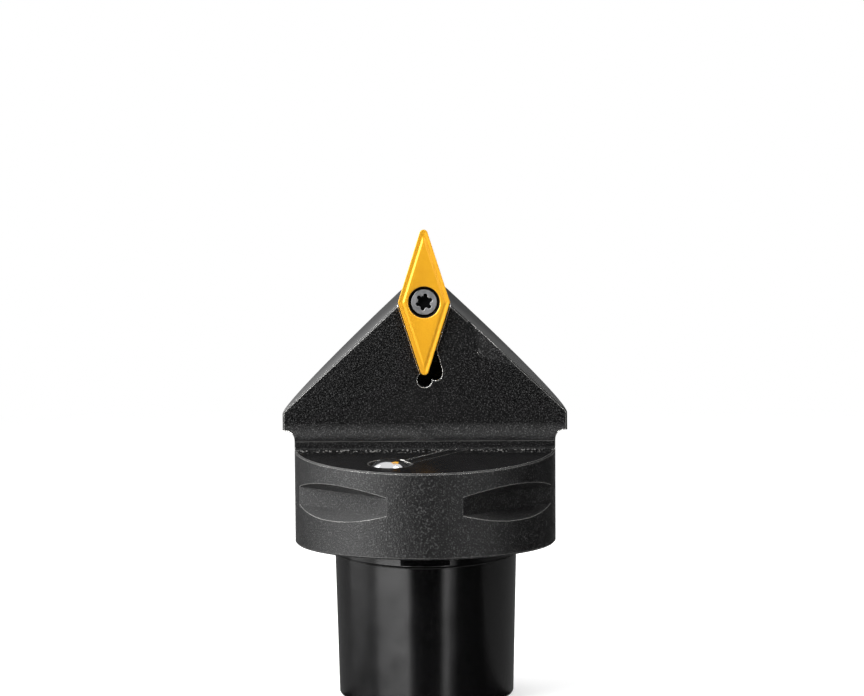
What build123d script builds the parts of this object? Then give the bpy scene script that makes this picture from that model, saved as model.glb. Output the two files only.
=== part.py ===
"""Modular turning and boring head: polygon taper shank, flange with gripper grooves,
arrowhead tool block, clamped 35 degree insert and a swivel coolant nozzle.

Millimetres. The origin is the centre of the gauge face, where the flange meets the spindle.
+Z runs along the tool axis to the cutting tip, -Y is the side that the insert faces.
"""
import os
from math import cos, radians, sin, tan

from build123d import *

# Polygon taper shank
shank_mean_d = 35.0
shank_lobe = 1.12
shank_length = 30.0
shank_taper = 1 / 20
shank_lead = 0.55
shank_lead_angle = 30.0
neck_height = 2.2
neck_d = 35.8
taper_start = 2.6
taper_start_step = 0.08
curve_points = 48

# Cavity in the shank for the clamping segments and the centre bolt
cavity_d = 21.0
cavity_depth = 20.0
cavity_lead = 0.8
segment_groove_d = 24.6
segment_groove_width = 5.0
segment_groove_from_end = 7.0
segment_groove_flank = 1.8
bolt_bore_d = 16.0
bolt_bore_length = 14.0
drill_point_angle = 118.0

# Flange
flange_d = 50.0
floor_height = 18.05
floor_slope = 3.9
rim_chamfer = 0.25
gauge_chamfer = 0.3
gripper_groove_z = 9.93
gripper_groove_floor = 3.45
gripper_groove_depth = 3.0
gripper_groove_flank = 30.0
gripper_groove_count = 4

# Tool block
head_d = 54.7
ear_underside = 21.25
ear_fillet = 1.7
ear_corner_radius = 1.2
face_setback = 1.1
cove_radius = 3.0
flank_angle = 42.7
apex_below_tip = 9.87
ridge_radius = 1.5
front_edge_chamfer = 0.3

# Relief milled in the right of the front face, deepest at its upper end
facet_top_x = 8.3
facet_fade_x = 10.5
facet_fade_z = 35.5
facet_fade_run = 7.0
facet_fade_drop = 2.0
facet_depth = 0.6

# Insert: 35 degree rhombus, positive, with a centre hole
tip_height = 60.0
insert_circle = 9.525
insert_angle = 35.0
insert_thickness = 4.76
insert_nose_radius = 0.8
insert_side_radius = 0.4
insert_clearance_angle = 5.0
insert_hole_d = 4.4
insert_sink_d = 6.15
insert_sink_angle = 60.0
edge_land = 0.14
chip_groove_width = 0.75
chip_groove_depth = 0.22
chip_wall_angle = 40.0
plateau_height = 0.08
plateau_corner_radius = 0.3

# Shim under the insert
shim_thickness = 3.18
shim_inset = 0.7
shim_wall_gap = 0.15
shim_screw_head_d = 6.2
shim_screw_head_height = 1.3
shim_screw_head_sink = 0.15
shim_screw_head_gap = 0.1
shim_screw_thread_d = 5.0
shim_screw_length = 9.0
shim_screw_key = 3.5
shim_screw_key_depth = 2.0
shim_screw_bore_spare = 1.0
seat_clearance = 0.02
thread_clearance = 0.05

# Insert screw
screw_thread_d = 3.5
screw_head_d = 5.2
screw_head_rim = 0.2
screw_head_band = 0.15
screw_length = 10.0
screw_socket_d = 3.35
screw_socket_root_d = 2.4
screw_socket_lobe_r = 0.42
screw_socket_depth = 1.1
screw_tip_chamfer = 0.4
screw_socket_turn = 18.0
key_sides = 6

# Chip and coolant room below the insert's lower corner
corner_relief_r = 1.43
corner_relief_drop = 1.12
side_relief_r = 1.2
side_relief_x = 2.2
side_relief_height = 4.8
side_relief_bend = 0.9
pocket_edge_gap = 0.22
pocket_edge_depth = 0.6

# Nose of the block that carries the insert's upper half
nose_inset = 1.3
nose_depth = 7.0
nose_relief_angle = 7.0
nose_tip_radius = 0.5
nose_back_angle = 35.0

# Swivel coolant nozzle
nozzle_ball_d = 11.0
nozzle_from_wall = 8.4
nozzle_bearing = 23.0
nozzle_stand_out = 1.0
nozzle_mouth_d = 8.4
nozzle_socket_clearance = 0.05
nozzle_jet_d = 2.2
nozzle_inlet_d = 4.0
nozzle_inlet_depth = 3.0
nozzle_chamber_d = 7.6
nozzle_chamber_depth = 8.2
duct_d = 3.6
duct_start_z = 2.0
wash_groove_depth = 0.25
wash_groove_width = 2.9
wash_groove_angle = 50.5

# Values that follow from the ones above
half_angle = radians(insert_angle / 2)
insert_half_long = insert_circle / 2 / sin(half_angle)
insert_half_short = insert_circle / 2 / cos(half_angle)
nose_to_corner = insert_nose_radius * (1 / sin(half_angle) - 1)
insert_z = tip_height - (insert_half_long - nose_to_corner)
pocket_floor_y = insert_thickness + shim_thickness
shim_screw_front_y = insert_thickness + shim_screw_head_sink
sink_slope = tan(radians(insert_sink_angle / 2))
screw_seat_y = (insert_sink_d - screw_head_d) / 2 / sink_slope - plateau_height - seat_clearance
screw_front_y = screw_seat_y - screw_head_band - screw_head_rim
apex_z = tip_height - apex_below_tip
collar_z = ear_underside - ear_fillet
lower_corner_z = 2 * insert_z - tip_height


def lobed_curve(mean_d):
    """Points of the three-lobed shank section, one lobe towards -Y."""
    points = []
    for step in range(curve_points):
        a = radians(360 * step / curve_points)
        wave = 3 * (a + radians(90))
        reach = mean_d / 2 + shank_lobe * cos(wave)
        slide = 3 * shank_lobe * sin(wave)
        points.append((reach * cos(a) + slide * sin(a), reach * sin(a) - slide * cos(a)))
    return points


def floor_z(y):
    """Height of the sloped flange floor at a place in front of the block."""
    return floor_height + y * tan(radians(floor_slope))


def facing(y):
    """Plane at depth y behind the cutting plane, seen from the insert's side."""
    return Plane.XZ.offset(-y)


def rhombus(nose_radius, side_radius, grow=0.0):
    """Insert outline, made larger or smaller by grow, inside an open sketch."""
    long = insert_half_long + grow / sin(half_angle)
    short = insert_half_short + grow / cos(half_angle)
    Polygon((0, long), (-short, 0), (0, -long), (short, 0))
    fillet(vertices().sort_by(Axis.Y)[0], nose_radius)
    fillet(vertices().sort_by(Axis.Y)[-1], nose_radius)
    fillet(vertices().group_by(Axis.X)[0], side_radius)
    fillet(vertices().group_by(Axis.X)[-1], side_radius)


def flank_z(x):
    """Height of the flank line at a distance x from the tool axis."""
    return apex_z - abs(x) * tan(radians(flank_angle))


def on_flange_wall(edge):
    """True for a rim of the flange's outer wall in front of the block, or at the gauge face."""
    box = edge.bounding_box()
    at_gauge = box.max.Z < 0.01 and box.size.X > flange_d - 0.01
    at_floor = edge.geom_type == GeomType.ELLIPSE and box.size.X > flange_d / 2 and box.max.Z < collar_z
    return at_gauge or at_floor


def on_front_edge(edge):
    """True for an edge where a flank meets the front face."""
    middle = edge.center()
    return abs(middle.Y - face_setback) < 0.01 and abs(middle.Z - flank_z(middle.X)) < 0.01


insert_plane = Plane(origin=(0, 0, insert_z), x_dir=(1, 0, 0), z_dir=(0, -1, 0))
nozzle_ball_r = nozzle_ball_d / 2
nozzle_reach = flange_d / 2 - nozzle_from_wall
nozzle_x = -nozzle_reach * sin(radians(nozzle_bearing))
nozzle_y = -nozzle_reach * cos(radians(nozzle_bearing))
nozzle_centre = Vector(nozzle_x, nozzle_y, floor_z(nozzle_y) + nozzle_stand_out - nozzle_ball_r)
jet_direction = (Vector(0, 0, tip_height) - nozzle_centre).normalized()

# Holder body: shank, flange and tool block are turned and milled from one piece of steel
lead_z = shank_length - shank_lead
start_mean_d = shank_mean_d - shank_taper * taper_start
end_mean_d = shank_mean_d - shank_taper * lead_z
lead_mean_d = end_mean_d - 2 * shank_lead * tan(radians(shank_lead_angle))
with BuildPart() as holder_body:
    # Three-lobed taper, smaller towards its end
    for depth, mean_d in ((taper_start, start_mean_d), (lead_z, end_mean_d), (shank_length, lead_mean_d)):
        with BuildSketch(Plane.XY.offset(-depth)):
            with BuildLine():
                Spline(*lobed_curve(mean_d), periodic=True)
            make_face()
    loft(ruled=True)
    # The ground taper starts a hair's step below the neck
    with BuildSketch(Plane.XY.offset(-taper_start)):
        with BuildLine():
            Spline(*lobed_curve(start_mean_d - 2 * taper_start_step), periodic=True)
        make_face()
    extrude(amount=taper_start)
    # Round neck under the flange, which trims only the three lobes
    with BuildSketch(Plane.XY.offset(-neck_height)):
        Circle(flange_d / 2)
        Circle(neck_d / 2, mode=Mode.SUBTRACT)
    extrude(amount=neck_height, mode=Mode.SUBTRACT)
    # Flange and block as one turned profile, with a hollow under the ears
    with BuildSketch(Plane.XZ):
        with BuildLine():
            Polyline((flange_d / 2, collar_z), (flange_d / 2, 0), (0, 0), (0, apex_z), (head_d / 2, apex_z),
                     (head_d / 2, ear_underside), (flange_d / 2 + ear_fillet, ear_underside))
            RadiusArc((flange_d / 2 + ear_fillet, ear_underside), (flange_d / 2, collar_z), -ear_fillet)
        make_face()
    revolve(axis=Axis.Z)
    # Front side milled away down to the sloped floor, with a round cove at the block's foot
    with BuildSketch(Plane.YZ):
        step_y = face_setback - cove_radius
        far_y = -head_d
        with BuildLine():
            Polyline((face_setback, collar_z + cove_radius), (face_setback, tip_height), (far_y, tip_height),
                     (far_y, floor_z(far_y)), (step_y, floor_z(step_y)), (step_y, collar_z))
            RadiusArc((step_y, collar_z), (face_setback, collar_z + cove_radius), -cove_radius)
        make_face()
    extrude(amount=head_d, both=True, mode=Mode.SUBTRACT)
    # Two sloping flanks that meet behind the insert
    with BuildSketch(Plane.XZ):
        Polygon((0, apex_z), (head_d, flank_z(head_d)), (head_d, tip_height),
                (-head_d, tip_height), (-head_d, flank_z(head_d)), align=None)
    extrude(amount=head_d, both=True, mode=Mode.SUBTRACT)
    ridge = holder_body.edges().filter_by(Axis.Y).sort_by(Axis.Z)[-1]
    fillet(ridge, ridge_radius)
    ear_corners = holder_body.edges().filter_by(GeomType.ELLIPSE).group_by(Axis.Y)[-1]
    fillet(ear_corners, ear_corner_radius)
    front_edges = holder_body.edges().filter_by(GeomType.LINE).filter_by(on_front_edge)
    chamfer(front_edges, front_edge_chamfer)
    # Rims of the flange
    flange_edges = holder_body.edges().filter_by(on_flange_wall)
    chamfer(flange_edges.filter_by(lambda edge: edge.center().Z > collar_z / 2), rim_chamfer)
    chamfer(flange_edges.filter_by(lambda edge: edge.center().Z < collar_z / 2), gauge_chamfer)
    # Straight V grooves for the changer's gripper
    groove_mouth = gripper_groove_floor / 2 + gripper_groove_depth * tan(radians(gripper_groove_flank))
    groove_floor_r = flange_d / 2 - gripper_groove_depth
    for step in range(gripper_groove_count):
        groove_turn = (step + 0.5) * 360 / gripper_groove_count
        with BuildSketch(Plane.XZ.rotated((0, 0, groove_turn))):
            with Locations((groove_floor_r, gripper_groove_z)):
                Polygon((0, -gripper_groove_floor / 2), (0, gripper_groove_floor / 2),
                        (2 * gripper_groove_depth, 2 * groove_mouth - gripper_groove_floor / 2),
                        (2 * gripper_groove_depth, gripper_groove_floor / 2 - 2 * groove_mouth), align=None)
        extrude(amount=flange_d / 2, both=True, mode=Mode.SUBTRACT)
    # Nose that carries the upper half of the insert, relieved behind
    with BuildSketch(facing(pocket_floor_y)):
        nose_top_z = insert_z + insert_half_long - nose_inset / sin(half_angle)
        nose_half_width = (nose_top_z - lower_corner_z) * tan(half_angle)
        Polygon((0, nose_top_z), (nose_half_width, lower_corner_z), (-nose_half_width, lower_corner_z),
                align=None)
        fillet(vertices().sort_by(Axis.Y)[-1], nose_tip_radius)
    extrude(amount=-nose_depth, taper=nose_relief_angle)
    with BuildSketch(Plane.YZ):
        nose_back_y = pocket_floor_y + nose_depth / 2
        nose_back_run = (nose_top_z - apex_z) * tan(radians(nose_back_angle))
        Polygon((nose_back_y, nose_top_z), (nose_back_y + nose_back_run, apex_z), (head_d, apex_z),
                (head_d, tip_height), (nose_back_y, tip_height), align=None)
    extrude(amount=insert_circle, both=True, mode=Mode.SUBTRACT)
    # Insert pocket: sloping walls for the insert, straight walls for the shim
    with BuildSketch(insert_plane):
        rhombus(insert_nose_radius, insert_side_radius, seat_clearance)
    extrude(amount=-insert_thickness, taper=insert_clearance_angle, mode=Mode.SUBTRACT)
    with BuildSketch(facing(pocket_floor_y)):
        with Locations((0, insert_z)):
            rhombus(insert_nose_radius / 2, insert_side_radius, shim_wall_gap - shim_inset)
    extrude(amount=shim_thickness, mode=Mode.SUBTRACT)
    # Wider gap along the pocket's outer edge
    with BuildSketch(facing(face_setback + pocket_edge_depth)):
        with Locations((0, insert_z)):
            rhombus(insert_nose_radius, insert_side_radius, seat_clearance + pocket_edge_gap)
    extrude(amount=face_setback + pocket_edge_depth, mode=Mode.SUBTRACT)
    # Relief around the insert's unused corner, wider on the right
    with BuildSketch(facing(pocket_floor_y)):
        relief_z = lower_corner_z - corner_relief_drop
        relief_top_z = lower_corner_z + side_relief_height
        relief_top_x = (relief_top_z - insert_z + insert_half_long) * tan(half_angle) + pocket_edge_gap
        relief_side_x = side_relief_x + side_relief_r
        Polygon((0, relief_z), (0, relief_top_z), (relief_top_x, relief_top_z),
                (relief_side_x, lower_corner_z + side_relief_bend), (relief_side_x, lower_corner_z),
                (side_relief_x, lower_corner_z), align=None)
        with Locations((0, relief_z)):
            Circle(corner_relief_r)
        with Locations((side_relief_x, lower_corner_z)):
            Circle(side_relief_r)
    extrude(amount=pocket_floor_y, mode=Mode.SUBTRACT)
    # Bore for the shim screw
    with BuildSketch(insert_plane.offset(-pocket_floor_y)):
        Circle(shim_screw_thread_d / 2 + thread_clearance)
    extrude(amount=shim_screw_front_y + shim_screw_length + shim_screw_bore_spare - pocket_floor_y,
            dir=(0, 1, 0), mode=Mode.SUBTRACT)
    # Shallow milled facet beside the right flank
    fade_start = Vector(facet_fade_x, face_setback, facet_fade_z)
    fade_end = fade_start + Vector(facet_fade_run, 0, -facet_fade_drop)
    facet_top = Vector(facet_top_x, face_setback + facet_depth, flank_z(facet_top_x))
    fade_line = fade_end - fade_start
    facet_plane = Plane(fade_start, x_dir=fade_line, z_dir=fade_line.cross(facet_top - fade_start))
    with BuildSketch(facet_plane):
        facet_corner = facet_plane.to_local_coords(fade_start + (facet_top - fade_start) * 1.3)
        Polygon((0, 0), (fade_line.length * 1.3, 0), (fade_line.length * 1.3, facet_corner.Y),
                (facet_corner.X, facet_corner.Y), align=None)
    extrude(amount=face_setback + facet_depth, mode=Mode.SUBTRACT)
    # Cavity for the clamping segments, and the bore of the centre bolt
    with BuildSketch(Plane.XZ):
        mouth_z = -shank_length
        groove_z = mouth_z + segment_groove_from_end
        bolt_z = mouth_z + cavity_depth
        bolt_top_z = bolt_z + bolt_bore_length
        point_z = bolt_top_z + bolt_bore_d / 2 / tan(radians(drill_point_angle / 2))
        Polygon((0, mouth_z), (cavity_d / 2 + cavity_lead, mouth_z), (cavity_d / 2, mouth_z + cavity_lead),
                (cavity_d / 2, groove_z), (segment_groove_d / 2, groove_z + segment_groove_flank),
                (segment_groove_d / 2, groove_z + segment_groove_width),
                (cavity_d / 2, groove_z + segment_groove_width), (cavity_d / 2, bolt_z),
                (bolt_bore_d / 2, bolt_z), (bolt_bore_d / 2, bolt_top_z), (0, point_z), align=None)
    revolve(axis=Axis.Z, mode=Mode.SUBTRACT)
    # Ball socket of the nozzle with its staked mouth, coolant chamber and duct
    with Locations(nozzle_centre):
        Sphere(nozzle_ball_r + nozzle_socket_clearance, mode=Mode.SUBTRACT)
    with BuildSketch(Plane(nozzle_centre)):
        Circle(nozzle_mouth_d / 2)
    extrude(amount=nozzle_ball_d, mode=Mode.SUBTRACT)
    with BuildSketch(Plane(nozzle_centre)):
        Circle(nozzle_chamber_d / 2)
    extrude(amount=-nozzle_chamber_depth, mode=Mode.SUBTRACT)
    duct_start = Vector(0, 0, duct_start_z)
    duct_end = nozzle_centre - Vector(0, 0, nozzle_chamber_depth - duct_d / 2)
    with BuildSketch(Plane(duct_start, z_dir=duct_end - duct_start)):
        Circle(duct_d / 2)
    extrude(amount=(duct_end - duct_start).length, mode=Mode.SUBTRACT)
    # Shallow wash groove in the floor from the nozzle to the block's foot
    floor_plane = Plane((0, 0, floor_height), x_dir=(1, 0, 0),
                        z_dir=(0, -sin(radians(floor_slope)), cos(radians(floor_slope))))
    with BuildSketch(floor_plane):
        with Locations(Location((nozzle_x, nozzle_y, 0), (0, 0, wash_groove_angle))):
            Rectangle(flange_d, wash_groove_width, align=(Align.MIN, Align.MAX))
        with Locations((0, step_y)):
            Rectangle(2 * flange_d, flange_d, align=(Align.CENTER, Align.MAX), mode=Mode.INTERSECT)
    extrude(amount=-wash_groove_depth, mode=Mode.SUBTRACT)
holder_body.part.label = "holder_body"

# Indexable insert: edge land, chip groove, raised middle and a hole that is sunk for the screw
sink_depth = (insert_sink_d - insert_hole_d) / 2 / sink_slope
with BuildPart() as cutting_insert:
    with BuildSketch(insert_plane):
        rhombus(insert_nose_radius, insert_side_radius)
    extrude(amount=-insert_thickness, taper=insert_clearance_angle)
    with BuildSketch(insert_plane):
        rhombus(insert_nose_radius - edge_land, insert_side_radius, -edge_land)
    extrude(amount=-chip_groove_depth, taper=chip_wall_angle, mode=Mode.SUBTRACT)
    with BuildSketch(insert_plane.offset(-chip_groove_depth)):
        rhombus(plateau_corner_radius, insert_side_radius, -edge_land - chip_groove_width)
    extrude(amount=chip_groove_depth + plateau_height, taper=chip_wall_angle)
    with BuildSketch(insert_plane.offset(plateau_height)):
        Circle(insert_hole_d / 2)
    extrude(amount=-insert_thickness - plateau_height, mode=Mode.SUBTRACT)
    with BuildSketch(insert_plane.offset(plateau_height)):
        Circle(insert_sink_d / 2)
    extrude(amount=-sink_depth, taper=insert_sink_angle / 2, mode=Mode.SUBTRACT)
cutting_insert.part.label = "cutting_insert"

# Insert screw: countersunk head with a six-lobe socket
with BuildPart() as insert_screw:
    with BuildSketch(Plane.YZ):
        head_cone_height = (screw_head_d - screw_thread_d) / 2 / sink_slope
        tip_y = screw_front_y + screw_length
        with BuildLine():
            Polyline((screw_front_y, insert_z), (screw_front_y, insert_z + screw_head_d / 2 - screw_head_rim),
                     (screw_front_y + screw_head_rim, insert_z + screw_head_d / 2),
                     (screw_seat_y, insert_z + screw_head_d / 2),
                     (screw_seat_y + head_cone_height, insert_z + screw_thread_d / 2),
                     (tip_y - screw_tip_chamfer, insert_z + screw_thread_d / 2),
                     (tip_y, insert_z + screw_thread_d / 2 - screw_tip_chamfer), (tip_y, insert_z),
                     close=True)
        make_face()
    revolve(axis=Axis((0, 0, insert_z), (0, 1, 0)))
    with BuildSketch(insert_plane.offset(-screw_front_y)):
        Circle(screw_socket_root_d / 2)
        with PolarLocations(screw_socket_d / 2 - screw_socket_lobe_r, key_sides, screw_socket_turn):
            Circle(screw_socket_lobe_r)
    extrude(amount=-screw_socket_depth, mode=Mode.SUBTRACT)
insert_screw.part.label = "insert_screw"

# Shim: hard plate that backs the insert
with BuildPart() as shim:
    with BuildSketch(facing(pocket_floor_y)):
        with Locations((0, insert_z)):
            rhombus(insert_nose_radius / 2, insert_side_radius, -shim_inset)
    extrude(amount=shim_thickness)
    with BuildSketch(insert_plane.offset(-pocket_floor_y)):
        Circle(shim_screw_thread_d / 2 + shim_screw_head_gap)
    extrude(amount=shim_thickness, mode=Mode.SUBTRACT)
    with BuildSketch(insert_plane.offset(-insert_thickness)):
        Circle(shim_screw_head_d / 2 + shim_screw_head_gap)
    extrude(amount=-shim_screw_head_sink - shim_screw_head_height, mode=Mode.SUBTRACT)
shim.part.label = "shim"

# Shim screw: threaded sleeve with a hexagon key mouth, and the insert screw's thread inside
with BuildPart() as shim_screw:
    with BuildSketch(insert_plane.offset(-shim_screw_front_y)):
        Circle(shim_screw_head_d / 2)
    extrude(amount=-shim_screw_head_height)
    with BuildSketch(insert_plane.offset(-shim_screw_front_y)):
        Circle(shim_screw_thread_d / 2)
    extrude(amount=-shim_screw_length)
    with BuildSketch(insert_plane.offset(-shim_screw_front_y)):
        RegularPolygon(shim_screw_key / 2, key_sides, major_radius=False)
    extrude(amount=-shim_screw_key_depth, mode=Mode.SUBTRACT)
    with BuildSketch(insert_plane.offset(-shim_screw_front_y)):
        Circle(screw_thread_d / 2 + thread_clearance)
    extrude(amount=-shim_screw_length, mode=Mode.SUBTRACT)
shim_screw.part.label = "shim_screw"

# Swivel nozzle: a ball with a wide inlet and a fine jet bore, aimed at the insert's tip
with BuildPart() as coolant_nozzle:
    with Locations(nozzle_centre):
        Sphere(nozzle_ball_r)
    with BuildSketch(Plane(nozzle_centre, z_dir=jet_direction)):
        Circle(nozzle_jet_d / 2)
    extrude(amount=nozzle_ball_d, both=True, mode=Mode.SUBTRACT)
    with BuildSketch(Plane(nozzle_centre - jet_direction * nozzle_ball_r, z_dir=jet_direction)):
        Circle(nozzle_inlet_d / 2)
    extrude(amount=nozzle_inlet_depth, mode=Mode.SUBTRACT)
coolant_nozzle.part.label = "coolant_nozzle"

os.makedirs("parts", exist_ok=True)
export_step(holder_body.part, "parts/holder_body.step")
export_step(cutting_insert.part, "parts/cutting_insert.step")
export_step(insert_screw.part, "parts/insert_screw.step")
export_step(shim.part, "parts/shim.step")
export_step(shim_screw.part, "parts/shim_screw.step")
export_step(coolant_nozzle.part, "parts/coolant_nozzle.step")
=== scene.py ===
import math

import bmesh
import bpy
from mathutils import Euler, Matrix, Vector


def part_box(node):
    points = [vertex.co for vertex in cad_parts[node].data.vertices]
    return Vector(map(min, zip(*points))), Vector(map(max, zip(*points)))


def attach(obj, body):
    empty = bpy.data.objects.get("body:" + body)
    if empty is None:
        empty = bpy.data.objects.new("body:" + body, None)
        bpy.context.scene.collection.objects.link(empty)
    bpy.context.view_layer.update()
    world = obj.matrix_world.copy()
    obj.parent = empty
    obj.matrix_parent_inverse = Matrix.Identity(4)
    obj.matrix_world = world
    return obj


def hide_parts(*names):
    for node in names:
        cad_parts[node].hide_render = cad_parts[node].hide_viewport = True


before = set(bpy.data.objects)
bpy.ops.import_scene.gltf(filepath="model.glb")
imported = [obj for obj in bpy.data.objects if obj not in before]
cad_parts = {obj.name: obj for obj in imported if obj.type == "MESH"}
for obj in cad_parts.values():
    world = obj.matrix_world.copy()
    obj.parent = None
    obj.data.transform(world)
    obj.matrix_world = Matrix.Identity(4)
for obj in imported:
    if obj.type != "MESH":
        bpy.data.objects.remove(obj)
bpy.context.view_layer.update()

# Camera. The head is photographed nearly level from its insert's side, through a long lens, from
# just high enough to look down on the flange's floor. Angles are in degrees, lengths in metres.
CAMERA_DISTANCE = 1.0
CAMERA_AZIMUTH = 0.32
CAMERA_ELEVATION = 7.33
CAMERA_ROLL = -0.39
VIEW_CENTRE = Vector((0.00147, 0.0, 0.03724))
ORBIT_CENTRE = Vector((0.0, 0.0, 0.020))
LENS_MM = 217.3
SENSOR_MM = 36.0
NEAREST_SEEN = 0.05
FARTHEST_SEEN = 20.0


def direction(azimuth, elevation):
    """Unit vector from the object: azimuth 0 is the insert's side, 90 the right of the picture."""
    a, e = math.radians(azimuth), math.radians(elevation)
    return Vector((math.sin(a) * math.cos(e), -math.cos(a) * math.cos(e), math.sin(e)))


def add_object(name, data):
    """Puts a camera, lamp or mesh into the scene."""
    thing = bpy.data.objects.new(name, data)
    bpy.context.scene.collection.objects.link(thing)
    return thing


camera = add_object("camera", bpy.data.cameras.new("camera"))
camera.location = ORBIT_CENTRE + CAMERA_DISTANCE * direction(CAMERA_AZIMUTH, CAMERA_ELEVATION)
camera.rotation_mode = "QUATERNION"
look = (VIEW_CENTRE - camera.location).to_track_quat("-Z", "Y")
camera.rotation_quaternion = look @ Euler((0, 0, math.radians(CAMERA_ROLL))).to_quaternion()
camera.data.lens = LENS_MM
camera.data.sensor_width = SENSOR_MM
camera.data.clip_start = NEAREST_SEEN
camera.data.clip_end = FARTHEST_SEEN
bpy.context.scene.camera = camera
bpy.context.scene.view_settings.view_transform = "Standard"

# Lamps. One large soft lamp stands at the head's left with a weak one behind it, a narrow one at its
# right and one above.
# Columns: name, azimuth, elevation, distance, width, height, and how bright the lamp is to look at
LAMPS = (("left_softbox", -61, 24, 0.85, 0.80, 1.00, 7.0),
         ("left_fill", -114, 26, 0.85, 0.60, 0.90, 1.6),
         ("right_strip", 45, 22, 0.95, 0.17, 0.80, 7.5),
         ("top_softbox", 70, 72, 0.80, 0.50, 0.30, 4.5))
for name, azimuth, elevation, distance, width, height, radiance in LAMPS:
    light = add_object(name, bpy.data.lights.new(name, "AREA"))
    light.location = VIEW_CENTRE + distance * direction(azimuth, elevation)
    light.rotation_mode = "QUATERNION"
    light.rotation_quaternion = (VIEW_CENTRE - light.location).to_track_quat("-Z", "Y")
    light.data.shape = "RECTANGLE"
    light.data.size = width
    light.data.size_y = height
    light.data.energy = radiance * math.pi * width * height
    light.visible_camera = False

# World. White is what the camera, and any mirror in the part, sees round the head. What the world
# gives the dull surfaces is less.
WORLD_SEEN = 1.0
WORLD_AMBIENT = 0.35
WHITE = "#ffffff"


def paint(hex_colour):
    """Linear colour of an sRGB hex value."""
    channels = [int(hex_colour[i:i + 2], 16) / 255 for i in (1, 3, 5)]
    return tuple(c / 12.92 if c <= 0.04045 else ((c + 0.055) / 1.055) ** 2.4 for c in channels) + (1.0,)


def add_node(nodes, kind, inputs=(), **settings):
    """Adds a shader node: inputs gives each socket a value or another node's socket."""
    node = nodes.new("ShaderNode" + kind)
    for name, value in settings.items():
        setattr(node, name, value)
    for socket, value in dict(inputs).items():
        if isinstance(value, bpy.types.NodeSocket):
            nodes.id_data.links.new(value, node.inputs[socket])
        else:
            node.inputs[socket].default_value = value
    return node


def looked_at(nodes):
    """1 for a ray of the camera or of a mirror or glass, 0 for the light on dull surfaces."""
    path = add_node(nodes, "LightPath")
    seen = add_node(nodes, "Math", {0: path.outputs["Is Camera Ray"], 1: path.outputs["Is Glossy Ray"]},
                    operation="ADD")
    return add_node(nodes, "Math", {0: seen.outputs[0], 1: path.outputs["Is Transmission Ray"]},
                    operation="ADD", use_clamp=True)


world = bpy.data.worlds.new("studio")
world.use_nodes = True
bpy.context.scene.world = world
nodes = world.node_tree.nodes
nodes.clear()
seen = looked_at(nodes)
level = add_node(nodes, "MapRange", {"Value": seen.outputs[0], "To Min": WORLD_AMBIENT,
                                     "To Max": WORLD_SEEN})
surround = add_node(nodes, "Background", {"Color": paint(WHITE), "Strength": level.outputs[0]})
add_node(nodes, "OutputWorld", {"Surface": surround.outputs[0]})

# Studio cards of fixed glowing tone stand round the head, between the lamps, and two lie on the floor. Only
# reflections see them: they paint dark and grey reflections onto the ground and polished surfaces there.
MM = 0.001
CARD_RADIUS = 0.24
CARD_STEP = 3.0
CARD_LIFT = 0.3 * MM
# Columns: name, first and last azimuth, height as an angle, and tone. A card of no height lies flat
CARDS = (("front_card", -31.0, 36.0, 60.0, "#0e0e0e"),
         ("right_card", 56.0, 160.0, 56.0, "#0e0e0e"),
         ("rear_right_card", 160.0, 178.0, 34.0, "#747474"),
         ("rear_left_card", 178.0, 199.0, 34.0, "#c8c8c8"),
         ("left_card", 199.0, 241.0, 38.0, "#707070"),
         ("front_floor_card", -90.0, 90.0, 0.0, "#0e0e0e"),
         ("rear_floor_card", 90.0, 270.0, 0.0, "#646464"))
floor_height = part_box("holder_body")[0].z


def new_material(name):
    """An empty material and its nodes."""
    material = bpy.data.materials.new(name)
    material.use_nodes = True
    material.node_tree.nodes.clear()
    return material, material.node_tree.nodes


for name, first, last, top, tone in CARDS:
    reflection_glow, nodes = new_material(name + "_reflection_glow")
    # Painted reflection: the card glows at its tone and only mirror rays see it
    card_glow = add_node(nodes, "Emission", {"Color": paint(tone)})
    add_node(nodes, "OutputMaterial", {"Surface": card_glow.outputs[0]})
    card_mesh = bpy.data.meshes.new(name)
    form = bmesh.new()
    rise = Vector((0, 0, CARD_RADIUS * math.tan(math.radians(top))))
    feet = []
    for step in range(int((last - first) / CARD_STEP) + 1):
        foot = CARD_RADIUS * direction(first + step * CARD_STEP, 0)
        feet.append(form.verts.new(foot + Vector((0, 0, floor_height + CARD_LIFT))))
    if top:
        heads = [form.verts.new(foot.co + rise) for foot in feet]
        for k in range(len(feet) - 1):
            form.faces.new((feet[k], feet[k + 1], heads[k + 1], heads[k]))
    else:
        form.faces.new(feet)
    form.to_mesh(card_mesh)
    form.free()
    card_mesh.materials.append(reflection_glow)
    card = add_object(name, card_mesh)
    for sight in ("visible_camera", "visible_diffuse", "visible_shadow", "visible_transmission"):
        setattr(card, sight, False)

# Floor: a sheet of matt white paper that the shank's end stands on. It fades into the white
# background away from the head, and keeps the head's soft shadow.
FLOOR_RADIUS = 6.0
FLOOR_SEGMENTS = 96
SHADOW_REACH = 0.45
FADE_START = 0.4 * SHADOW_REACH
FLOOR_LIFT = 0.40
PAPER = "#e6e6e6"
floor_mesh = bpy.data.meshes.new("floor")
form = bmesh.new()
bmesh.ops.create_circle(form, cap_ends=True, segments=FLOOR_SEGMENTS, radius=FLOOR_RADIUS)
form.to_mesh(floor_mesh)
form.free()
floor = add_object("floor", floor_mesh)
floor.location.z = floor_height
paper, nodes = new_material("white_paper")
floor_mesh.materials.append(paper)
seen = looked_at(nodes)
lift = add_node(nodes, "Math", {0: seen.outputs[0], 1: FLOOR_LIFT}, operation="MULTIPLY")
sheet = add_node(nodes, "BsdfDiffuse", {"Color": paint(PAPER)})
glow = add_node(nodes, "Emission", {"Color": paint(WHITE), "Strength": lift.outputs[0]})
near = add_node(nodes, "AddShader", {0: sheet.outputs[0], 1: glow.outputs[0]})
far = add_node(nodes, "Emission", {"Color": paint(WHITE), "Strength": seen.outputs[0]})
place = add_node(nodes, "TexCoord")
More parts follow.
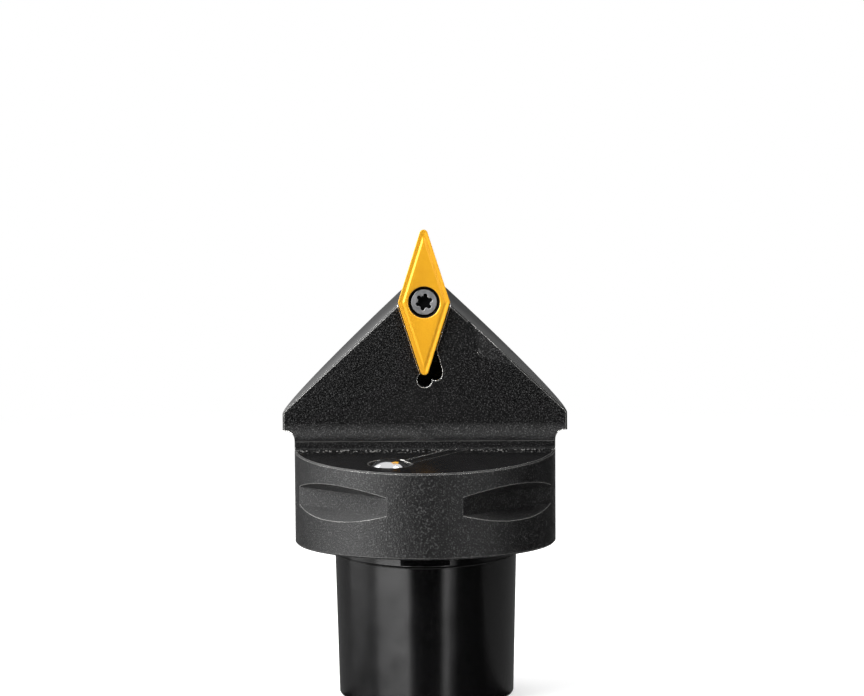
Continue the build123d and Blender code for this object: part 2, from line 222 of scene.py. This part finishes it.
reach = add_node(nodes, "VectorMath", {0: place.outputs["Object"]}, operation="LENGTH")
fade = add_node(nodes, "MapRange", {"Value": reach.outputs["Value"], "From Min": FADE_START,
                                    "From Max": SHADOW_REACH}, interpolation_type="SMOOTHSTEP")
blend = add_node(nodes, "MixShader", {0: fade.outputs[0], 1: near.outputs[0], 2: far.outputs[0]})
add_node(nodes, "OutputMaterial", {"Surface": blend.outputs[0]})

# Holder body: turned and milled from one bar of hardened alloy steel, then blacked in a hot oxide
# bath. The shank and the block's slopes are ground and the rest keeps a blasted grain, so it is a
# satin black with pale specks, and bright steel where the black has rubbed off the sharp edges.
OXIDE = "#020202"
OXIDE_THIN = "#0a0a0b"
OXIDE_SPECK = "#404040"
BARE_STEEL = "#efeeea"
BLOTCHES_PER_MM = 0.22
# The real grain and grinding lines are finer than 0.1 mm: they are drawn coarse enough to show
GRAIN_MM = 0.27
GRAIN_DEPTH = 0.15 * MM
SPECK_THIN, SPECK_FULL = 0.53, 0.70
GROUND_SPECKS = 0.12
GROUND_GRAIN = 0.03
GRIND_LINE_MM = 0.16
GRIND_LINE_STRETCH = 0.02
GRIND_DEPTH = 0.03 * MM
GRIND_STRENGTH = 0.12
EDGE_RADIUS = 0.10 * MM
EDGE_SAMPLES = 6
# Zones, as heights in mm over the gauge face and as how far a surface looks up (1 is straight up)
SHANK_TOP, SHANK_FULL = -0.2, -0.6
RIM_LOW, RIM_FULL = 15.4, 15.6
FLOOR_LOW, FLOOR_HIGH = 16.0, 18.1
BLOCK_FULL = FLOOR_HIGH + 0.3
SLOPE_LOW = 22.0
LEVEL_FROM, LEVEL_FULL = 0.985, 0.995
LEANING_FROM, LEANING_FULL = 0.30, 0.40
# Rubbed edges: how deep the wear reaches, and how it varies
WEAR_REACH = 0.16 * MM
WEAR_FROM, WEAR_FULL = 0.88, 0.60
WEAR_PATCH = (0.3, 0.7)
WEAR_LEAST = 0.35
HANDLED = 1.7
# Heights, with the reach to each side, of corners that nothing rubs: under the flange and at the foot
SHELTERED = ((-2.2, 1.4), (19.6, 1.2))
SHELTERED_WEAR = 0.1
# The relief on the block's right side: a line that leans, its middle height, and reach to each side
RELIEF_LEAN = 0.34
RELIEF_LINE, RELIEF_SIDE = 22.75, 0.45
RELIEF_MIDDLE, RELIEF_END = 39.2, 2.9
# Chatter marks: their width, their length as a stretch, where the pattern glints, and their band
CHATTER_MM = 0.42
CHATTER_STRETCH = 0.7
CHATTER_FROM, CHATTER_FULL = 0.54, 0.68
CHATTER_SHINE = 0.4
FOOT_FROM, FOOT_FULL = FLOOR_HIGH - 0.44, FLOOR_HIGH - 0.26
# Roughness, and how much of its gloss the oxide keeps in each zone
FLANGE_ROUGH = 0.46
BLOCK_ROUGH = 0.32
GROUND_ROUGH = 0.17
BLOTCH_ROUGH = 0.12
WORN_ROUGH = 0.20
FLANGE_GLOSS = 0.60
BLOCK_GLOSS = 0.26
SHANK_GLOSS = 1.0
SLOPE_GLOSS = 0.55
FLOOR_GLOSS = 0.10
OXIDE_SPECULAR = 0.80
# Painted shade: heights in mm of two dark bands round the shank, and their reach to each side
SHADE_LINES = (-0.12, -2.5)
SHADE_REACH = 0.22
# How much the lines that run round the axis smear a highlight, and which way
LAY_SMEAR = 0.85
LAY_TURN = 0.25


def millimetres(nodes):
    """The place on a piece, in mm."""
    place = add_node(nodes, "TexCoord")
    return add_node(nodes, "VectorMath", {0: place.outputs["Object"], "Scale": 1 / MM}, operation="SCALE")


def dress(node_name, material):
    """Gives a piece of the frame its material."""
    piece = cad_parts[node_name]
    piece.data.materials.clear()
    piece.data.materials.append(material)


black_steel, nodes = new_material("black_oxide_steel")
mm = millimetres(nodes)
height = add_node(nodes, "SeparateXYZ", {0: mm.outputs[0]})
flat = add_node(nodes, "NewGeometry")
facing_up = add_node(nodes, "SeparateXYZ", {0: flat.outputs["Normal"]})
on_shank = add_node(nodes, "MapRange", {"Value": height.outputs["Z"], "From Min": SHANK_TOP,
                                        "From Max": SHANK_FULL})
# The flange's floor is face milled: it looks up and lies at one height
level = add_node(nodes, "MapRange", {"Value": facing_up.outputs["Z"], "From Min": LEVEL_FROM,
                                     "From Max": LEVEL_FULL})
above = add_node(nodes, "Math", {0: height.outputs["Z"], 1: FLOOR_LOW}, operation="GREATER_THAN")
below = add_node(nodes, "Math", {0: height.outputs["Z"], 1: FLOOR_HIGH}, operation="LESS_THAN")
at_height = add_node(nodes, "Math", {0: above.outputs[0], 1: below.outputs[0]}, operation="MULTIPLY")
on_floor = add_node(nodes, "Math", {0: level.outputs[0], 1: at_height.outputs[0]}, operation="MULTIPLY")
smooth = add_node(nodes, "Math", {0: on_shank.outputs[0], 1: on_floor.outputs[0]}, operation="MAXIMUM")
# The block's two sloping sides are ground as well, so hardly any grain shows there
on_block = add_node(nodes, "MapRange", {"Value": height.outputs["Z"], "From Min": FLOOR_HIGH,
                                        "From Max": BLOCK_FULL})
slope = add_node(nodes, "MapRange", {"Value": facing_up.outputs["Z"], "From Min": LEANING_FROM,
                                     "From Max": LEANING_FULL})
high_up = add_node(nodes, "Math", {0: height.outputs["Z"], 1: SLOPE_LOW}, operation="GREATER_THAN")
on_slope = add_node(nodes, "Math", {0: slope.outputs[0], 1: high_up.outputs[0]}, operation="MULTIPLY")
ground = add_node(nodes, "Math", {0: smooth.outputs[0], 1: on_slope.outputs[0]}, operation="MAXIMUM")
# Blotches of thicker and thinner black, a few millimetres across, with the specks of the grain
blotch = add_node(nodes, "TexNoise", {"Vector": mm.outputs[0], "Scale": BLOTCHES_PER_MM, "Detail": 4.0})
grain = add_node(nodes, "TexNoise", {"Vector": mm.outputs[0], "Scale": 1 / GRAIN_MM, "Detail": 2.0})
speck = add_node(nodes, "MapRange", {"Value": grain.outputs[0], "From Min": SPECK_THIN,
                                     "From Max": SPECK_FULL})
black = add_node(nodes, "Mix", {0: blotch.outputs[0], 6: paint(OXIDE), 7: paint(OXIDE_THIN)},
                 data_type="RGBA")
speck_share = add_node(nodes, "MapRange", {"Value": ground.outputs[0], "To Min": 1.0,
                                           "To Max": GROUND_SPECKS})
speckle = add_node(nodes, "Math", {0: speck.outputs[0], 1: speck_share.outputs[0]}, operation="MULTIPLY")
black = add_node(nodes, "Mix", {0: speckle.outputs[0], 6: black.outputs[2], 7: paint(OXIDE_SPECK)},
                 data_type="RGBA")
# The grain's relief, and lines round the shank from the grinding wheel
rounded = add_node(nodes, "Bevel", {"Radius": EDGE_RADIUS}, samples=EDGE_SAMPLES)
grain_share = add_node(nodes, "MapRange", {"Value": ground.outputs[0], "To Min": 1.0,
                                           "To Max": GROUND_GRAIN})
grained = add_node(nodes, "Bump", {"Height": grain.outputs[0], "Strength": grain_share.outputs[0],
                                   "Distance": GRAIN_DEPTH, "Normal": rounded.outputs[0]})
stretch = add_node(nodes, "Mapping", {
    "Vector": mm.outputs[0], "Scale": (GRIND_LINE_STRETCH, GRIND_LINE_STRETCH, 1 / GRIND_LINE_MM)})
grinding = add_node(nodes, "TexNoise", {"Vector": stretch.outputs[0], "Scale": 1.0, "Detail": 2.0})
line_share = add_node(nodes, "MapRange", {"Value": on_shank.outputs[0], "To Min": 0.0,
                                          "To Max": GRIND_STRENGTH})
finish = add_node(nodes, "Bump", {"Height": grinding.outputs[0], "Strength": line_share.outputs[0],
                                  "Distance": GRIND_DEPTH, "Normal": grained.outputs[0]})
# Outer corners only are rubbed, found from inside the steel
inner = add_node(nodes, "AmbientOcclusion", {"Distance": WEAR_REACH}, inside=True, only_local=True,
                 samples=EDGE_SAMPLES)
edge = add_node(nodes, "MapRange", {"Value": inner.outputs["AO"], "From Min": WEAR_FROM,
                                    "From Max": WEAR_FULL})
patchy = add_node(nodes, "MapRange", {"Value": blotch.outputs[0], "From Min": WEAR_PATCH[0],
                                      "From Max": WEAR_PATCH[1], "To Min": WEAR_LEAST, "To Max": 1.0})
rubbed = add_node(nodes, "Math", {0: edge.outputs[0], 1: patchy.outputs[0]}, operation="MULTIPLY")
# The rim and the block are handled most, so their edges have lost more black than the grooves'
handled = add_node(nodes, "MapRange", {"Value": height.outputs["Z"], "From Min": RIM_LOW,
                                       "From Max": RIM_FULL, "To Min": 1.0, "To Max": HANDLED})
rubbed = add_node(nodes, "Math", {0: rubbed.outputs[0], 1: handled.outputs[0]}, operation="MULTIPLY")
for centre, reach in SHELTERED:
    away = add_node(nodes, "Math", {0: height.outputs["Z"], 1: centre, 2: reach}, operation="COMPARE")
    kept = add_node(nodes, "MapRange", {"Value": away.outputs[0], "To Min": 1.0, "To Max": SHELTERED_WEAR})
    rubbed = add_node(nodes, "Math", {0: rubbed.outputs[0], 1: kept.outputs[0]}, operation="MULTIPLY")
# The relief on the block's right side has a soft edge that isn't rubbed either
lean = add_node(nodes, "Math", {0: height.outputs["Z"], 1: RELIEF_LEAN, 2: height.outputs["X"]},
                operation="MULTIPLY_ADD")
beside = add_node(nodes, "Math", {0: lean.outputs[0], 1: RELIEF_LINE, 2: RELIEF_SIDE}, operation="COMPARE")
along = add_node(nodes, "Math", {0: height.outputs["Z"], 1: RELIEF_MIDDLE, 2: RELIEF_END},
                 operation="COMPARE")
soft = add_node(nodes, "Math", {0: beside.outputs[0], 1: along.outputs[0]}, operation="MULTIPLY")
kept = add_node(nodes, "MapRange", {"Value": soft.outputs[0], "To Min": 1.0, "To Max": 0.0})
rubbed = add_node(nodes, "Math", {0: rubbed.outputs[0], 1: kept.outputs[0]}, operation="MULTIPLY")
# Chatter marks of the cutter shine in the floor along the block's foot
slots = add_node(nodes, "Mapping", {
    "Vector": mm.outputs[0], "Scale": (1 / CHATTER_MM, CHATTER_STRETCH, 1 / CHATTER_MM)})
chatter = add_node(nodes, "TexNoise", {"Vector": slots.outputs[0], "Scale": 1.0, "Detail": 2.0})
glint = add_node(nodes, "MapRange", {"Value": chatter.outputs[0], "From Min": CHATTER_FROM,
                                     "From Max": CHATTER_FULL, "To Max": CHATTER_SHINE})
foot = add_node(nodes, "MapRange", {"Value": height.outputs["Z"], "From Min": FOOT_FROM,
                                    "From Max": FOOT_FULL})
at_foot = add_node(nodes, "Math", {0: foot.outputs[0], 1: on_floor.outputs[0]}, operation="MULTIPLY")
glint = add_node(nodes, "Math", {0: glint.outputs[0], 1: at_foot.outputs[0]}, operation="MULTIPLY")
wear = add_node(nodes, "Math", {0: rubbed.outputs[0], 1: glint.outputs[0]}, operation="MAXIMUM",
                use_clamp=True)
colour = add_node(nodes, "Mix", {0: wear.outputs[0], 6: black.outputs[2], 7: paint(BARE_STEEL)},
                  data_type="RGBA")
# The black's gloss differs from zone to zone, and so does its roughness
gloss = add_node(nodes, "MapRange", {"Value": on_block.outputs[0], "To Min": FLANGE_GLOSS,
                                     "To Max": BLOCK_GLOSS})
for zone, zone_gloss in ((on_shank, SHANK_GLOSS), (on_slope, SLOPE_GLOSS), (on_floor, FLOOR_GLOSS)):
    gloss = add_node(nodes, "MapRange", {"Value": zone.outputs[0], "To Min": gloss.outputs[0],
                                         "To Max": zone_gloss})
# Painted shade in the two sharp corners where the grinding ends, under the flange and where the taper
# starts:
# the black loses its gloss there, so the bands render dark
for line_z in SHADE_LINES:
    shaded_band = add_node(nodes, "Math", {0: height.outputs["Z"], 1: line_z, 2: SHADE_REACH}, operation="COMPARE")
    gloss = add_node(nodes, "MapRange", {"Value": shaded_band.outputs[0], "To Min": gloss.outputs[0],
                                         "To Max": 0.0})
matt = add_node(nodes, "MapRange", {"Value": on_block.outputs[0], "To Min": FLANGE_ROUGH,
                                    "To Max": BLOCK_ROUGH})
rough_zone = add_node(nodes, "MapRange", {"Value": smooth.outputs[0], "To Min": matt.outputs[0],
                                          "To Max": GROUND_ROUGH})
black_rough = add_node(nodes, "Math", {0: blotch.outputs[0], 1: BLOTCH_ROUGH, 2: rough_zone.outputs[0]},
                       operation="MULTIPLY_ADD")
rough = add_node(nodes, "MapRange", {"Value": wear.outputs[0], "To Min": black_rough.outputs[0],
                                     "To Max": WORN_ROUGH})
# Turning and grinding lines run round the axis, so highlights smear along it
lay = add_node(nodes, "Tangent", direction_type="RADIAL", axis="Z")
steel = add_node(nodes, "BsdfPrincipled", {
    "Base Color": colour.outputs[2], "Metallic": wear.outputs[0], "Roughness": rough.outputs[0],
    "Specular IOR Level": OXIDE_SPECULAR, "Specular Tint": gloss.outputs[0], "Anisotropic": LAY_SMEAR,
    "Anisotropic Rotation": LAY_TURN, "Tangent": lay.outputs[0], "Normal": finish.outputs[0]})
add_node(nodes, "OutputMaterial", {"Surface": steel.outputs[0]})
dress("holder_body", black_steel)

# Thread of the centre bolt: cut in the bore at the shank's flange end and blacked with the rest. Its
# crests are modelled here, because the solid has the bore at the thread's outer size.
BOLT_RADIUS = 8.0 * MM
BOLT_TOP_Z = 4.0 * MM
BOLT_LENGTH = 14.0 * MM
THREAD_PITCH = 1.5 * MM
THREAD_DEPTH = 0.81 * MM
THREAD_STEPS = 48
# The ridge is rooted a little into the wall. Its width is in parts of the pitch, to each side
ROOT_RADIUS = BOLT_RADIUS + 0.05 * MM
ROOT_HALF = 0.46
CREST_HALF = 0.08
RUN_OUT_STEPS = THREAD_STEPS / 3
thread_mesh = bpy.data.meshes.new("bolt_thread")
form = bmesh.new()
steps = int((BOLT_LENGTH / THREAD_PITCH - 1.0) * THREAD_STEPS)
last_row = None
for step in range(steps + 1):
    angle = 2 * math.pi * step / THREAD_STEPS
    z = BOLT_TOP_Z - BOLT_LENGTH + THREAD_PITCH * (0.5 + step / THREAD_STEPS)
    run_out = min(1.0, step / RUN_OUT_STEPS, (steps - step) / RUN_OUT_STEPS)
    crest = BOLT_RADIUS - THREAD_DEPTH * run_out
    row = []
    for radius, rise in ((ROOT_RADIUS, -ROOT_HALF), (crest, -CREST_HALF), (crest, CREST_HALF),
                         (ROOT_RADIUS, ROOT_HALF)):
        row.append(form.verts.new((radius * math.cos(angle), radius * math.sin(angle),
                                   z + rise * THREAD_PITCH)))
    if last_row:
        for k in range(4):
            form.faces.new((last_row[k], last_row[(k + 1) % 4], row[(k + 1) % 4], row[k]))
    else:
        form.faces.new(row)
    last_row = row
form.faces.new(reversed(last_row))
bmesh.ops.recalc_face_normals(form, faces=form.faces)
form.to_mesh(thread_mesh)
form.free()
thread_mesh.materials.append(black_steel)
thread = add_object("bolt_thread", thread_mesh)
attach(thread, "holder")

# Insert: tungsten carbide, pressed and sintered to shape, ground at its sides and coated gold
# yellow. A flat land runs along the cutting edge, then a chip groove, then the raised middle. It is
# clamped on the shim by its screw.
INSERT_ANGLE = 35.0
INSERT_CIRCLE_R = 4.7625 * MM
NOSE_R = 0.8 * MM
SIDE_R = 0.4 * MM
SMALLEST_R = 0.22 * MM
SIDE_SHRINK = 0.2
CLEARANCE = 5.0
SINK_R = 3.075 * MM
SINK_ANGLE = 30.0
HOLE_R = 2.2 * MM
# The rounded rim of the sunk hole: how far past its radius, and depth, both in mm
SINK_RIM = ((0.16, -0.08), (0.05, -0.05), (-0.02, 0.04))
ARC_STEPS = 14
EDGE_STEPS = 22
SHARP_ANGLE = 38.0
# From the cutting edge inwards: inset and depth, both in mm
RAKE_PROFILE = ((0.0, 0.09), (0.02, 0.035), (0.06, 0.008), (0.10, 0.0), (0.18, 0.0), (0.28, 0.02),
                (0.44, 0.065), (0.60, 0.11), (0.74, 0.135), (0.80, 0.13), (0.88, 0.09), (0.98, 0.015),
                (1.08, -0.055), (1.15, -0.085), (1.36, -0.08))
insert_low, insert_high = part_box("cutting_insert")
thickness = insert_high.y
centre_z = (insert_low.z + insert_high.z) / 2
half = math.radians(INSERT_ANGLE / 2)


def insert_outline(inset):
    """Points (x, z) round the rhombus, moved in from the cutting edge by inset."""
    in_r = INSERT_CIRCLE_R - inset
    nose = max(NOSE_R - inset, SMALLEST_R)
    side = max(SIDE_R - SIDE_SHRINK * inset, SMALLEST_R)
    corners = []
    for quarter in range(4):
        acute = quarter % 2 == 0
        radius = nose if acute else side
        lean = half if acute else math.pi / 2 - half
        reach = (in_r - radius) / math.sin(lean)
        bearing = math.pi / 2 + quarter * math.pi / 2
        centre = Vector((math.cos(bearing), math.sin(bearing))) * reach
        sweep = math.pi / 2 - lean
        corners.append([centre + radius * Vector((math.cos(bearing + sweep * (2 * s / ARC_STEPS - 1)),
                                                  math.sin(bearing + sweep * (2 * s / ARC_STEPS - 1))))
                        for s in range(ARC_STEPS + 1)])
    outline = []
    for corner, following in zip(corners, corners[1:] + corners[:1]):
        outline += corner
        outline += [corner[-1].lerp(following[0], s / EDGE_STEPS) for s in range(1, EDGE_STEPS)]
    return outline


def ring_at(form, outline, depth):
    """Vertices of one outline; depth is how far behind the cutting edge it lies."""
    return [form.verts.new((p.x, depth, p.y + centre_z)) for p in outline]


insert_mesh = bpy.data.meshes.new("gold_insert")
form = bmesh.new()
back_inset = thickness * math.tan(math.radians(CLEARANCE))
rings = [ring_at(form, insert_outline(back_inset), thickness)]
rings += [ring_at(form, insert_outline(inset * MM), depth * MM) for inset, depth in RAKE_PROFILE]
# The sunk hole: its rim, the cone for the screw's head, and the bore
plateau_inset, plateau_depth = RAKE_PROFILE[-1]
plateau = insert_outline(plateau_inset * MM)
sink_depth = (SINK_R - HOLE_R) / math.tan(math.radians(SINK_ANGLE)) + plateau_depth * MM
hole_profile = [(SINK_R + past * MM, depth * MM) for past, depth in SINK_RIM]
hole_profile += [(HOLE_R, sink_depth), (HOLE_R, thickness)]
for radius, depth in hole_profile:
    rings.append(ring_at(form, [p.normalized() * radius for p in plateau], depth))
for outer, inner in zip(rings, rings[1:] + rings[:1]):
    for k in range(len(outer)):
        n = (k + 1) % len(outer)
        form.faces.new((outer[k], outer[n], inner[n], inner[k]))
bmesh.ops.recalc_face_normals(form, faces=form.faces)
for face in form.faces:
    face.smooth = True
form.to_mesh(insert_mesh)
form.free()
insert_mesh.set_sharp_from_angle(angle=math.radians(SHARP_ANGLE))
insert = add_object("gold_insert", insert_mesh)

# Gold yellow nitride over sintered carbide: a warm satin metal with the press's fine grain, paler
# where the edge was honed, and with painted shade, black, in the sunk hole round the screw's head
GOLD = "#f0b025"
GOLD_DEEP = "#e6a21a"
GOLD_PALE = "#ffe9a0"
SINK_SHADE = "#0c0a06"
GOLD_METALLIC = 0.35
GOLD_ROUGH = (0.26, 0.40)
CLOUDS_PER_MM = 0.7
# The real grain is a few thousandths of a millimetre: it is drawn coarse enough to show
PRESS_GRAIN_MM = 0.12
PRESS_DEPTH = 0.03 * MM
PRESS_STRENGTH = 0.25
HONE_RADIUS = 0.16 * MM
HONE_FROM, HONE_FULL = 0.97, 0.80
SINK_EDGE_MM = (SINK_R / MM + 0.02, SINK_R / MM - 0.06)


def from_insert_axis(nodes, mm):
    """Distance in mm from the axis of the insert's hole and screw."""
    centred = add_node(nodes, "Mapping", {"Vector": mm.outputs[0], "Location": (0.0, 0.0, -centre_z / MM)})
    across = add_node(nodes, "Mapping", {"Vector": centred.outputs[0], "Scale": (1.0, 0.0, 1.0)})
    return add_node(nodes, "VectorMath", {0: across.outputs[0]}, operation="LENGTH")


gold, nodes = new_material("gold_nitride_coating")
mm = millimetres(nodes)
cloud = add_node(nodes, "TexNoise", {"Vector": mm.outputs[0], "Scale": CLOUDS_PER_MM, "Detail": 3.0})
press = add_node(nodes, "TexNoise", {"Vector": mm.outputs[0], "Scale": 1 / PRESS_GRAIN_MM, "Detail": 2.0})
layer = add_node(nodes, "Mix", {0: cloud.outputs[0], 6: paint(GOLD), 7: paint(GOLD_DEEP)},
                 data_type="RGBA")
worn_edge = add_node(nodes, "Bevel", {"Radius": HONE_RADIUS}, samples=EDGE_SAMPLES)
flat = add_node(nodes, "NewGeometry")
turn = add_node(nodes, "VectorMath", {0: worn_edge.outputs[0], 1: flat.outputs["True Normal"]},
                operation="DOT_PRODUCT")
edge = add_node(nodes, "MapRange", {"Value": turn.outputs["Value"], "From Min": HONE_FROM,
                                    "From Max": HONE_FULL})
honed = add_node(nodes, "Mix", {0: edge.outputs[0], 6: layer.outputs[2], 7: paint(GOLD_PALE)},
                 data_type="RGBA")
from_axis = from_insert_axis(nodes, mm)
# Painted shade: the cone of the sunk hole is coloured black
in_sink_shade = add_node(nodes, "MapRange", {"Value": from_axis.outputs["Value"], "From Min": SINK_EDGE_MM[0],
                                       "From Max": SINK_EDGE_MM[1]})
colour = add_node(nodes, "Mix", {0: in_sink_shade.outputs[0], 6: honed.outputs[2], 7: paint(SINK_SHADE)},
                  data_type="RGBA")
rough = add_node(nodes, "MapRange", {"Value": cloud.outputs[0], "To Min": GOLD_ROUGH[0],
                                     "To Max": GOLD_ROUGH[1]})
grained = add_node(nodes, "Bump", {"Height": press.outputs[0], "Strength": PRESS_STRENGTH,
                                   "Distance": PRESS_DEPTH})
coating = add_node(nodes, "BsdfPrincipled", {
    "Base Color": colour.outputs[2], "Metallic": GOLD_METALLIC, "Roughness": rough.outputs[0],
    "Normal": grained.outputs[0]})
add_node(nodes, "OutputMaterial", {"Surface": coating.outputs[0]})
insert_mesh.materials.append(gold)
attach(insert, "holder")
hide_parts("cutting_insert")

# Insert screw: turned from hardened steel and left bright, with a pressed six-lobe socket. Rings
# from the turning tool show on its head, and painted shade darkens the socket and a ring round the rim.
TURNED_STEEL = "#e4e4e7"
SOCKET_SHADE = "#232325"
SCREW_ROUGH = (0.28, 0.52)
SMUDGES_PER_MM = 1.4
# The real rings are finer than 0.1 mm: they are drawn coarse enough to show
TURNING_LINE_MM = 0.14
TURNING_DEPTH = 0.04 * MM
TURNING_STRENGTH = 0.7
SCREW_EDGE = 0.10 * MM
SHADE_DEPTH_MM = (0.12, 0.6)
SHADE_RIM_MM = (0.26, 0.10)
screw_low, screw_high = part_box("insert_screw")
head_mm = (screw_high.x - screw_low.x) / 2 / MM
head_top_mm = screw_low.y / MM
bright_steel, nodes = new_material("turned_bright_steel")
mm = millimetres(nodes)
from_axis = from_insert_axis(nodes, mm)
ring_coordinate = add_node(nodes, "CombineXYZ", {"X": from_axis.outputs["Value"]})
turning = add_node(nodes, "TexNoise", {"Vector": ring_coordinate.outputs[0], "Scale": 1 / TURNING_LINE_MM,
                                       "Detail": 2.0})
smudge = add_node(nodes, "TexNoise", {"Vector": mm.outputs[0], "Scale": SMUDGES_PER_MM, "Detail": 4.0})
split = add_node(nodes, "SeparateXYZ", {0: mm.outputs[0]})
# Painted shade deep in the socket and in a ring just inside the head's rim
in_socket = add_node(nodes, "MapRange", {
    "Value": split.outputs["Y"], "From Min": head_top_mm + SHADE_DEPTH_MM[0],
    "From Max": head_top_mm + SHADE_DEPTH_MM[1]})
rim = add_node(nodes, "MapRange", {"Value": from_axis.outputs["Value"], "From Min": head_mm - SHADE_RIM_MM[0],
                                   "From Max": head_mm - SHADE_RIM_MM[1]})
shaded = add_node(nodes, "Math", {0: in_socket.outputs[0], 1: rim.outputs[0]}, operation="MAXIMUM")
tone = add_node(nodes, "Mix", {0: shaded.outputs[0], 6: paint(TURNED_STEEL), 7: paint(SOCKET_SHADE)},
                data_type="RGBA")
rounded = add_node(nodes, "Bevel", {"Radius": SCREW_EDGE}, samples=EDGE_SAMPLES)
grained = add_node(nodes, "Bump", {"Height": turning.outputs[0], "Strength": TURNING_STRENGTH,
                                   "Distance": TURNING_DEPTH, "Normal": rounded.outputs[0]})
rough = add_node(nodes, "MapRange", {"Value": smudge.outputs[0], "To Min": SCREW_ROUGH[0],
                                     "To Max": SCREW_ROUGH[1]})
steel = add_node(nodes, "BsdfPrincipled", {
    "Base Color": tone.outputs[2], "Metallic": 1.0, "Roughness": rough.outputs[0],
    "Normal": grained.outputs[0]})
add_node(nodes, "OutputMaterial", {"Surface": steel.outputs[0]})
dress("insert_screw", bright_steel)

# Shim: uncoated tungsten carbide, sintered and surface ground, so it is dull grey with straight
# grinding lines along its length. The shim screw holds it in the pocket.
CARBIDE = "#6f7073"
CARBIDE_METALLIC = 0.9
CARBIDE_ROUGH = (0.34, 0.50)
# The real lines are a few hundredths of a millimetre wide: they are drawn coarse enough to show
LAP_LINE_MM = 0.10
LAP_LINE_STRETCH = 0.05
LAP_DEPTH = 0.02 * MM
LAP_STRENGTH = 0.3
SHIM_EDGE = 0.12 * MM
carbide, nodes = new_material("ground_carbide")
mm = millimetres(nodes)
stretch = add_node(nodes, "Mapping", {
    "Vector": mm.outputs[0], "Scale": (1 / LAP_LINE_MM, 1 / LAP_LINE_MM, LAP_LINE_STRETCH)})
lapping = add_node(nodes, "TexNoise", {"Vector": stretch.outputs[0], "Scale": 1.0, "Detail": 2.0})
rough = add_node(nodes, "MapRange", {"Value": lapping.outputs[0], "To Min": CARBIDE_ROUGH[0],
                                     "To Max": CARBIDE_ROUGH[1]})
rounded = add_node(nodes, "Bevel", {"Radius": SHIM_EDGE}, samples=EDGE_SAMPLES)
lapped = add_node(nodes, "Bump", {"Height": lapping.outputs[0], "Strength": LAP_STRENGTH,
                                  "Distance": LAP_DEPTH, "Normal": rounded.outputs[0]})
grey = add_node(nodes, "BsdfPrincipled", {
    "Base Color": paint(CARBIDE), "Metallic": CARBIDE_METALLIC, "Roughness": rough.outputs[0],
    "Normal": lapped.outputs[0]})
add_node(nodes, "OutputMaterial", {"Surface": grey.outputs[0]})
dress("shim", carbide)

# Shim screw: a blackened and oiled steel sleeve that is screwed through the shim into the block.
# The insert and its screw hide it, so it has a plain oily sheen.
OILED_BLACK = "#2a2a2c"
OILED_METALLIC = 0.6
OILED_ROUGH = (0.25, 0.45)
OIL_PATCHES_PER_MM = 1.1
OIL_DEPTH = 0.05 * MM
OIL_STRENGTH = 0.1
SLEEVE_EDGE = 0.10 * MM
oiled_steel, nodes = new_material("oiled_black_steel")
mm = millimetres(nodes)
oil = add_node(nodes, "TexNoise", {"Vector": mm.outputs[0], "Scale": OIL_PATCHES_PER_MM, "Detail": 3.0})
rough = add_node(nodes, "MapRange", {"Value": oil.outputs[0], "To Min": OILED_ROUGH[0],
                                     "To Max": OILED_ROUGH[1]})
rounded = add_node(nodes, "Bevel", {"Radius": SLEEVE_EDGE}, samples=EDGE_SAMPLES)
grained = add_node(nodes, "Bump", {"Height": oil.outputs[0], "Strength": OIL_STRENGTH,
                                   "Distance": OIL_DEPTH, "Normal": rounded.outputs[0]})
black = add_node(nodes, "BsdfPrincipled", {
    "Base Color": paint(OILED_BLACK), "Metallic": OILED_METALLIC, "Roughness": rough.outputs[0],
    "Normal": grained.outputs[0]})
add_node(nodes, "OutputMaterial", {"Surface": black.outputs[0]})
dress("shim_screw", oiled_steel)

# Coolant nozzle: a hard polished steel ball, drilled through and staked in the floor so that it can
# be swivelled with a pin. Fine scratches from swivelling cross its mirror.
BALL_STEEL = "#d6d6d8"
BALL_ROUGH = (0.04, 0.14)
HAZE_PER_MM = 0.8
# The real scratches are finer: they are drawn coarse enough to show
SCRATCHES_PER_MM = (0.3, 9.0, 9.0)
SCRATCH_TURN = (0.4, 0.3, 0.9)
SCRATCH_DEPTH = 0.02 * MM
SCRATCH_STRENGTH = 0.06
ball_steel, nodes = new_material("polished_ball_steel")
mm = millimetres(nodes)
haze = add_node(nodes, "TexNoise", {"Vector": mm.outputs[0], "Scale": HAZE_PER_MM, "Detail": 5.0})
stretch = add_node(nodes, "Mapping", {"Vector": mm.outputs[0], "Rotation": SCRATCH_TURN,
                                      "Scale": SCRATCHES_PER_MM})
scratch = add_node(nodes, "TexNoise", {"Vector": stretch.outputs[0], "Scale": 1.0, "Detail": 2.0})
rough = add_node(nodes, "MapRange", {"Value": haze.outputs[0], "To Min": BALL_ROUGH[0],
                                     "To Max": BALL_ROUGH[1]})
scratched = add_node(nodes, "Bump", {"Height": scratch.outputs[0], "Strength": SCRATCH_STRENGTH,
                                     "Distance": SCRATCH_DEPTH})
mirror = add_node(nodes, "BsdfPrincipled", {
    "Base Color": paint(BALL_STEEL), "Metallic": 1.0, "Roughness": rough.outputs[0],
    "Normal": scratched.outputs[0]})
add_node(nodes, "OutputMaterial", {"Surface": mirror.outputs[0]})
dress("coolant_nozzle", ball_steel)
